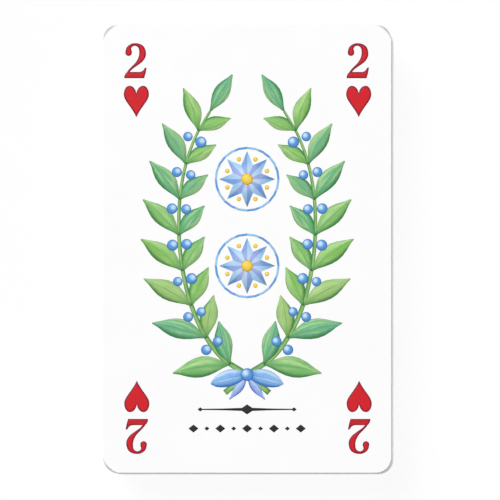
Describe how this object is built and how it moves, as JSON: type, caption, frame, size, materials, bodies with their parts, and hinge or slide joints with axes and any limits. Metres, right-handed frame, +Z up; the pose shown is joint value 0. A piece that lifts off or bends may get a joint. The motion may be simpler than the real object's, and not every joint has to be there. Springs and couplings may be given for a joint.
{
  "type": "playing card deck",
  "caption": "Squared-up deck of loose round-cornered playing cards lying face up, which fans about a pinned point and deals its top card off the side.",
  "frame": {"origin": "under the middle of the squared-up deck, on the surface that it lies on", "axes": "+Z up out of the card faces, +Y along the cards' length to the top edge of the top card, +X across their width, to the right for someone reading the top card"},
  "size_m": [0.058, 0.0894, 0.0165],
  "materials": {
    "card_stock": "satin",
    "printed_ink": "satin"
  },
  "bodies": {
    "ace_of_hearts": {"ace_of_hearts": "card_stock"},
    "joker_black": {"joker_black": "card_stock"},
    "joker_red": {"joker_red": "card_stock"},
    "king_of_spades": {"king_of_spades": "card_stock"},
    "queen_of_spades": {"queen_of_spades": "card_stock"},
    "jack_of_spades": {"jack_of_spades": "card_stock"},
    "ten_of_spades": {"ten_of_spades": "card_stock"},
    "nine_of_spades": {"nine_of_spades": "card_stock"},
    "eight_of_spades": {"eight_of_spades": "card_stock"},
    "seven_of_spades": {"seven_of_spades": "card_stock"},
    "six_of_spades": {"six_of_spades": "card_stock"},
    "five_of_spades": {"five_of_spades": "card_stock"},
    "four_of_spades": {"four_of_spades": "card_stock"},
    "three_of_spades": {"three_of_spades": "card_stock"},
    "two_of_spades": {"two_of_spades": "card_stock"},
    "ace_of_spades": {"ace_of_spades": "card_stock"},
    "king_of_diamonds": {"king_of_diamonds": "card_stock"},
    "queen_of_diamonds": {"queen_of_diamonds": "card_stock"},
    "jack_of_diamonds": {"jack_of_diamonds": "card_stock"},
    "ten_of_diamonds": {"ten_of_diamonds": "card_stock"},
    "nine_of_diamonds": {"nine_of_diamonds": "card_stock"},
    "eight_of_diamonds": {"eight_of_diamonds": "card_stock"},
    "seven_of_diamonds": {"seven_of_diamonds": "card_stock"},
    "six_of_diamonds": {"six_of_diamonds": "card_stock"},
    "five_of_diamonds": {"five_of_diamonds": "card_stock"},
    "four_of_diamonds": {"four_of_diamonds": "card_stock"},
    "three_of_diamonds": {"three_of_diamonds": "card_stock"},
    "two_of_diamonds": {"two_of_diamonds": "card_stock"},
    "ace_of_diamonds": {"ace_of_diamonds": "card_stock"},
    "king_of_clubs": {"king_of_clubs": "card_stock"},
    "queen_of_clubs": {"queen_of_clubs": "card_stock"},
    "jack_of_clubs": {"jack_of_clubs": "card_stock"},
    "ten_of_clubs": {"ten_of_clubs": "card_stock"},
    "nine_of_clubs": {"nine_of_clubs": "card_stock"},
    "eight_of_clubs": {"eight_of_clubs": "card_stock"},
    "seven_of_clubs": {"seven_of_clubs": "card_stock"},
    "six_of_clubs": {"six_of_clubs": "card_stock"},
    "five_of_clubs": {"five_of_clubs": "card_stock"},
    "four_of_clubs": {"four_of_clubs": "card_stock"},
    "three_of_clubs": {"three_of_clubs": "card_stock"},
    "two_of_clubs": {"two_of_clubs": "card_stock"},
    "ace_of_clubs": {"ace_of_clubs": "card_stock"},
    "king_of_hearts": {"king_of_hearts": "card_stock"},
    "queen_of_hearts": {"queen_of_hearts": "card_stock"},
    "jack_of_hearts": {"jack_of_hearts": "card_stock"},
    "ten_of_hearts": {"ten_of_hearts": "card_stock"},
    "nine_of_hearts": {"nine_of_hearts": "card_stock"},
    "eight_of_hearts": {"eight_of_hearts": "card_stock"},
    "seven_of_hearts": {"seven_of_hearts": "card_stock"},
    "six_of_hearts": {"six_of_hearts": "card_stock"},
    "five_of_hearts": {"five_of_hearts": "card_stock"},
    "four_of_hearts": {"four_of_hearts": "card_stock"},
    "three_of_hearts": {"three_of_hearts": "card_stock"},
    "two_of_hearts": {"two_of_hearts": "card_stock"}
  },
  "joints": [
    {"name": "fan_joker_black", "type": "hinge", "parent": "ace_of_hearts", "child": "joker_black", "pos_m": [0, -0.03045, 0], "axis": [0, 0, 1], "range_deg": [-6.07, 6.07]},
    {"name": "fan_joker_red", "type": "hinge", "parent": "ace_of_hearts", "child": "joker_red", "pos_m": [0, -0.03045, 0], "axis": [0, 0, 1], "range_deg": [-12.12, 12.12]},
    {"name": "fan_king_of_spades", "type": "hinge", "parent": "ace_of_hearts", "child": "king_of_spades", "pos_m": [0, -0.03045, 0], "axis": [0, 0, 1], "range_deg": [-18.18, 18.18]},
    {"name": "fan_queen_of_spades", "type": "hinge", "parent": "ace_of_hearts", "child": "queen_of_spades", "pos_m": [0, -0.03045, 0], "axis": [0, 0, 1], "range_deg": [-24.24, 24.24]},
    {"name": "fan_jack_of_spades", "type": "hinge", "parent": "ace_of_hearts", "child": "jack_of_spades", "pos_m": [0, -0.03045, 0], "axis": [0, 0, 1], "range_deg": [-30.3, 30.3]},
    {"name": "fan_ten_of_spades", "type": "hinge", "parent": "ace_of_hearts", "child": "ten_of_spades", "pos_m": [0, -0.03045, 0], "axis": [0, 0, 1], "range_deg": [-36.36, 36.36]},
    {"name": "fan_nine_of_spades", "type": "hinge", "parent": "ace_of_hearts", "child": "nine_of_spades", "pos_m": [0, -0.03045, 0], "axis": [0, 0, 1], "range_deg": [-42.41, 42.41]},
    {"name": "fan_eight_of_spades", "type": "hinge", "parent": "ace_of_hearts", "child": "eight_of_spades", "pos_m": [0, -0.03045, 0], "axis": [0, 0, 1], "range_deg": [-48.47, 48.47]},
    {"name": "fan_seven_of_spades", "type": "hinge", "parent": "ace_of_hearts", "child": "seven_of_spades", "pos_m": [0, -0.03045, 0], "axis": [0, 0, 1], "range_deg": [-54.53, 54.53]},
    {"name": "fan_six_of_spades", "type": "hinge", "parent": "ace_of_hearts", "child": "six_of_spades", "pos_m": [0, -0.03045, 0], "axis": [0, 0, 1], "range_deg": [-60.59, 60.59]},
    {"name": "fan_five_of_spades", "type": "hinge", "parent": "ace_of_hearts", "child": "five_of_spades", "pos_m": [0, -0.03045, 0], "axis": [0, 0, 1], "range_deg": [-66.64, 66.64]},
    {"name": "fan_four_of_spades", "type": "hinge", "parent": "ace_of_hearts", "child": "four_of_spades", "pos_m": [0, -0.03045, 0], "axis": [0, 0, 1], "range_deg": [-72.7, 72.7]},
    {"name": "fan_three_of_spades", "type": "hinge", "parent": "ace_of_hearts", "child": "three_of_spades", "pos_m": [0, -0.03045, 0], "axis": [0, 0, 1], "range_deg": [-78.76, 78.76]},
    {"name": "fan_two_of_spades", "type": "hinge", "parent": "ace_of_hearts", "child": "two_of_spades", "pos_m": [0, -0.03045, 0], "axis": [0, 0, 1], "range_deg": [-84.82, 84.82]},
    {"name": "fan_ace_of_spades", "type": "hinge", "parent": "ace_of_hearts", "child": "ace_of_spades", "pos_m": [0, -0.03045, 0], "axis": [0, 0, 1], "range_deg": [-90.88, 90.88]},
    {"name": "fan_king_of_diamonds", "type": "hinge", "parent": "ace_of_hearts", "child": "king_of_diamonds", "pos_m": [0, -0.03045, 0], "axis": [0, 0, 1], "range_deg": [-96.93, 96.93]},
    {"name": "fan_queen_of_diamonds", "type": "hinge", "parent": "ace_of_hearts", "child": "queen_of_diamonds", "pos_m": [0, -0.03045, 0], "axis": [0, 0, 1], "range_deg": [-102.99, 102.99]},
    {"name": "fan_jack_of_diamonds", "type": "hinge", "parent": "ace_of_hearts", "child": "jack_of_diamonds", "pos_m": [0, -0.03045, 0], "axis": [0, 0, 1], "range_deg": [-109.05, 109.05]},
    {"name": "fan_ten_of_diamonds", "type": "hinge", "parent": "ace_of_hearts", "child": "ten_of_diamonds", "pos_m": [0, -0.03045, 0], "axis": [0, 0, 1], "range_deg": [-115.11, 115.11]},
    {"name": "fan_nine_of_diamonds", "type": "hinge", "parent": "ace_of_hearts", "child": "nine_of_diamonds", "pos_m": [0, -0.03045, 0], "axis": [0, 0, 1], "range_deg": [-121.16, 121.16]},
    {"name": "fan_eight_of_diamonds", "type": "hinge", "parent": "ace_of_hearts", "child": "eight_of_diamonds", "pos_m": [0, -0.03045, 0], "axis": [0, 0, 1], "range_deg": [-127.22, 127.22]},
    {"name": "fan_seven_of_diamonds", "type": "hinge", "parent": "ace_of_hearts", "child": "seven_of_diamonds", "pos_m": [0, -0.03045, 0], "axis": [0, 0, 1], "range_deg": [-133.28, 133.28]},
    {"name": "fan_six_of_diamonds", "type": "hinge", "parent": "ace_of_hearts", "child": "six_of_diamonds", "pos_m": [0, -0.03045, 0], "axis": [0, 0, 1], "range_deg": [-139.34, 139.34]},
    {"name": "fan_five_of_diamonds", "type": "hinge", "parent": "ace_of_hearts", "child": "five_of_diamonds", "pos_m": [0, -0.03045, 0], "axis": [0, 0, 1], "range_deg": [-145.4, 145.4]},
    {"name": "fan_four_of_diamonds", "type": "hinge", "parent": "ace_of_hearts", "child": "four_of_diamonds", "pos_m": [0, -0.03045, 0], "axis": [0, 0, 1], "range_deg": [-151.45, 151.45]},
    {"name": "fan_three_of_diamonds", "type": "hinge", "parent": "ace_of_hearts", "child": "three_of_diamonds", "pos_m": [0, -0.03045, 0], "axis": [0, 0, 1], "range_deg": [-157.51, 157.51]},
    {"name": "fan_two_of_diamonds", "type": "hinge", "parent": "ace_of_hearts", "child": "two_of_diamonds", "pos_m": [0, -0.03045, 0], "axis": [0, 0, 1], "range_deg": [-163.57, 163.57]},
    {"name": "fan_ace_of_diamonds", "type": "hinge", "parent": "ace_of_hearts", "child": "ace_of_diamonds", "pos_m": [0, -0.03045, 0], "axis": [0, 0, 1], "range_deg": [-169.62, 169.62]},
    {"name": "fan_king_of_clubs", "type": "hinge", "parent": "ace_of_hearts", "child": "king_of_clubs", "pos_m": [0, -0.03045, 0], "axis": [0, 0, 1], "range_deg": [-175.68, 175.68]},
    {"name": "fan_queen_of_clubs", "type": "hinge", "parent": "ace_of_hearts", "child": "queen_of_clubs", "pos_m": [0, -0.03045, 0], "axis": [0, 0, 1], "range_deg": [-181.74, 181.74]},
    {"name": "fan_jack_of_clubs", "type": "hinge", "parent": "ace_of_hearts", "child": "jack_of_clubs", "pos_m": [0, -0.03045, 0], "axis": [0, 0, 1], "range_deg": [-187.8, 187.8]},
    {"name": "fan_ten_of_clubs", "type": "hinge", "parent": "ace_of_hearts", "child": "ten_of_clubs", "pos_m": [0, -0.03045, 0], "axis": [0, 0, 1], "range_deg": [-193.86, 193.86]},
    {"name": "fan_nine_of_clubs", "type": "hinge", "parent": "ace_of_hearts", "child": "nine_of_clubs", "pos_m": [0, -0.03045, 0], "axis": [0, 0, 1], "range_deg": [-199.91, 199.91]},
    {"name": "fan_eight_of_clubs", "type": "hinge", "parent": "ace_of_hearts", "child": "eight_of_clubs", "pos_m": [0, -0.03045, 0], "axis": [0, 0, 1], "range_deg": [-205.97, 205.97]},
    {"name": "fan_seven_of_clubs", "type": "hinge", "parent": "ace_of_hearts", "child": "seven_of_clubs", "pos_m": [0, -0.03045, 0], "axis": [0, 0, 1], "range_deg": [-212.03, 212.03]},
    {"name": "fan_six_of_clubs", "type": "hinge", "parent": "ace_of_hearts", "child": "six_of_clubs", "pos_m": [0, -0.03045, 0], "axis": [0, 0, 1], "range_deg": [-218.09, 218.09]},
    {"name": "fan_five_of_clubs", "type": "hinge", "parent": "ace_of_hearts", "child": "five_of_clubs", "pos_m": [0, -0.03045, 0], "axis": [0, 0, 1], "range_deg": [-224.15, 224.15]},
    {"name": "fan_four_of_clubs", "type": "hinge", "parent": "ace_of_hearts", "child": "four_of_clubs", "pos_m": [0, -0.03045, 0], "axis": [0, 0, 1], "range_deg": [-230.2, 230.2]},
    {"name": "fan_three_of_clubs", "type": "hinge", "parent": "ace_of_hearts", "child": "three_of_clubs", "pos_m": [0, -0.03045, 0], "axis": [0, 0, 1], "range_deg": [-236.26, 236.26]},
    {"name": "fan_two_of_clubs", "type": "hinge", "parent": "ace_of_hearts", "child": "two_of_clubs", "pos_m": [0, -0.03045, 0], "axis": [0, 0, 1], "range_deg": [-242.32, 242.32]},
    {"name": "fan_ace_of_clubs", "type": "hinge", "parent": "ace_of_hearts", "child": "ace_of_clubs", "pos_m": [0, -0.03045, 0], "axis": [0, 0, 1], "range_deg": [-248.38, 248.38]},
    {"name": "fan_king_of_hearts", "type": "hinge", "parent": "ace_of_hearts", "child": "king_of_hearts", "pos_m": [0, -0.03045, 0], "axis": [0, 0, 1], "range_deg": [-254.43, 254.43]},
    {"name": "fan_queen_of_hearts", "type": "hinge", "parent": "ace_of_hearts", "child": "queen_of_hearts", "pos_m": [0, -0.03045, 0], "axis": [0, 0, 1], "range_deg": [-260.49, 260.49]},
    {"name": "fan_jack_of_hearts", "type": "hinge", "parent": "ace_of_hearts", "child": "jack_of_hearts", "pos_m": [0, -0.03045, 0], "axis": [0, 0, 1], "range_deg": [-266.55, 266.55]},
    {"name": "fan_ten_of_hearts", "type": "hinge", "parent": "ace_of_hearts", "child": "ten_of_hearts", "pos_m": [0, -0.03045, 0], "axis": [0, 0, 1], "range_deg": [-272.61, 272.61]},
    {"name": "fan_nine_of_hearts", "type": "hinge", "parent": "ace_of_hearts", "child": "nine_of_hearts", "pos_m": [0, -0.03045, 0], "axis": [0, 0, 1], "range_deg": [-278.66, 278.66]},
    {"name": "fan_eight_of_hearts", "type": "hinge", "parent": "ace_of_hearts", "child": "eight_of_hearts", "pos_m": [0, -0.03045, 0], "axis": [0, 0, 1], "range_deg": [-284.72, 284.72]},
    {"name": "fan_seven_of_hearts", "type": "hinge", "parent": "ace_of_hearts", "child": "seven_of_hearts", "pos_m": [0, -0.03045, 0], "axis": [0, 0, 1], "range_deg": [-290.78, 290.78]},
    {"name": "fan_six_of_hearts", "type": "hinge", "parent": "ace_of_hearts", "child": "six_of_hearts", "pos_m": [0, -0.03045, 0], "axis": [0, 0, 1], "range_deg": [-296.84, 296.84]},
    {"name": "fan_five_of_hearts", "type": "hinge", "parent": "ace_of_hearts", "child": "five_of_hearts", "pos_m": [0, -0.03045, 0], "axis": [0, 0, 1], "range_deg": [-302.89, 302.89]},
    {"name": "fan_four_of_hearts", "type": "hinge", "parent": "ace_of_hearts", "child": "four_of_hearts", "pos_m": [0, -0.03045, 0], "axis": [0, 0, 1], "range_deg": [-308.95, 308.95]},
    {"name": "fan", "type": "hinge", "parent": "ace_of_hearts", "child": "three_of_hearts", "pos_m": [0, -0.03045, 0], "axis": [0, 0, 1], "range_deg": [-315, 315]},
    {"name": "top_card_draw", "type": "slide", "parent": "three_of_hearts", "child": "two_of_hearts", "axis": [1, 0, 0], "range_m": [-0.06, 0.06]}
  ],
  "couplings": [
    {"joint": "fan_joker_black", "follows": "fan", "ratio": 0.019231},
    {"joint": "fan_joker_red", "follows": "fan", "ratio": 0.038462},
    {"joint": "fan_king_of_spades", "follows": "fan", "ratio": 0.057692},
    {"joint": "fan_queen_of_spades", "follows": "fan", "ratio": 0.076923},
    {"joint": "fan_jack_of_spades", "follows": "fan", "ratio": 0.096154},
    {"joint": "fan_ten_of_spades", "follows": "fan", "ratio": 0.11539},
    {"joint": "fan_nine_of_spades", "follows": "fan", "ratio": 0.13462},
    {"joint": "fan_eight_of_spades", "follows": "fan", "ratio": 0.15385},
    {"joint": "fan_seven_of_spades", "follows": "fan", "ratio": 0.17308},
    {"joint": "fan_six_of_spades", "follows": "fan", "ratio": 0.19231},
    {"joint": "fan_five_of_spades", "follows": "fan", "ratio": 0.21154},
    {"joint": "fan_four_of_spades", "follows": "fan", "ratio": 0.23077},
    {"joint": "fan_three_of_spades", "follows": "fan", "ratio": 0.25},
    {"joint": "fan_two_of_spades", "follows": "fan", "ratio": 0.26923},
    {"joint": "fan_ace_of_spades", "follows": "fan", "ratio": 0.28846},
    {"joint": "fan_king_of_diamonds", "follows": "fan", "ratio": 0.30769},
    {"joint": "fan_queen_of_diamonds", "follows": "fan", "ratio": 0.32692},
    {"joint": "fan_jack_of_diamonds", "follows": "fan", "ratio": 0.34615},
    {"joint": "fan_ten_of_diamonds", "follows": "fan", "ratio": 0.36539},
    {"joint": "fan_nine_of_diamonds", "follows": "fan", "ratio": 0.38461},
    {"joint": "fan_eight_of_diamonds", "follows": "fan", "ratio": 0.40385},
    {"joint": "fan_seven_of_diamonds", "follows": "fan", "ratio": 0.42308},
    {"joint": "fan_six_of_diamonds", "follows": "fan", "ratio": 0.44231},
    {"joint": "fan_five_of_diamonds", "follows": "fan", "ratio": 0.46154},
    {"joint": "fan_four_of_diamonds", "follows": "fan", "ratio": 0.48077},
    {"joint": "fan_three_of_diamonds", "follows": "fan", "ratio": 0.5},
    {"joint": "fan_two_of_diamonds", "follows": "fan", "ratio": 0.51923},
    {"joint": "fan_ace_of_diamonds", "follows": "fan", "ratio": 0.53846},
    {"joint": "fan_king_of_clubs", "follows": "fan", "ratio": 0.55769},
    {"joint": "fan_queen_of_clubs", "follows": "fan", "ratio": 0.57692},
    {"joint": "fan_jack_of_clubs", "follows": "fan", "ratio": 0.59615},
    {"joint": "fan_ten_of_clubs", "follows": "fan", "ratio": 0.61538},
    {"joint": "fan_nine_of_clubs", "follows": "fan", "ratio": 0.63462},
    {"joint": "fan_eight_of_clubs", "follows": "fan", "ratio": 0.65385},
    {"joint": "fan_seven_of_clubs", "follows": "fan", "ratio": 0.67308},
    {"joint": "fan_six_of_clubs", "follows": "fan", "ratio": 0.69231},
    {"joint": "fan_five_of_clubs", "follows": "fan", "ratio": 0.71154},
    {"joint": "fan_four_of_clubs", "follows": "fan", "ratio": 0.73077},
    {"joint": "fan_three_of_clubs", "follows": "fan", "ratio": 0.75},
    {"joint": "fan_two_of_clubs", "follows": "fan", "ratio": 0.76923},
    {"joint": "fan_ace_of_clubs", "follows": "fan", "ratio": 0.78846},
    {"joint": "fan_king_of_hearts", "follows": "fan", "ratio": 0.80769},
    {"joint": "fan_queen_of_hearts", "follows": "fan", "ratio": 0.82692},
    {"joint": "fan_jack_of_hearts", "follows": "fan", "ratio": 0.84615},
    {"joint": "fan_ten_of_hearts", "follows": "fan", "ratio": 0.86538},
    {"joint": "fan_nine_of_hearts", "follows": "fan", "ratio": 0.88462},
    {"joint": "fan_eight_of_hearts", "follows": "fan", "ratio": 0.90385},
    {"joint": "fan_seven_of_hearts", "follows": "fan", "ratio": 0.92308},
    {"joint": "fan_six_of_hearts", "follows": "fan", "ratio": 0.94231},
    {"joint": "fan_five_of_hearts", "follows": "fan", "ratio": 0.96154},
    {"joint": "fan_four_of_hearts", "follows": "fan", "ratio": 0.98077}
  ]
}
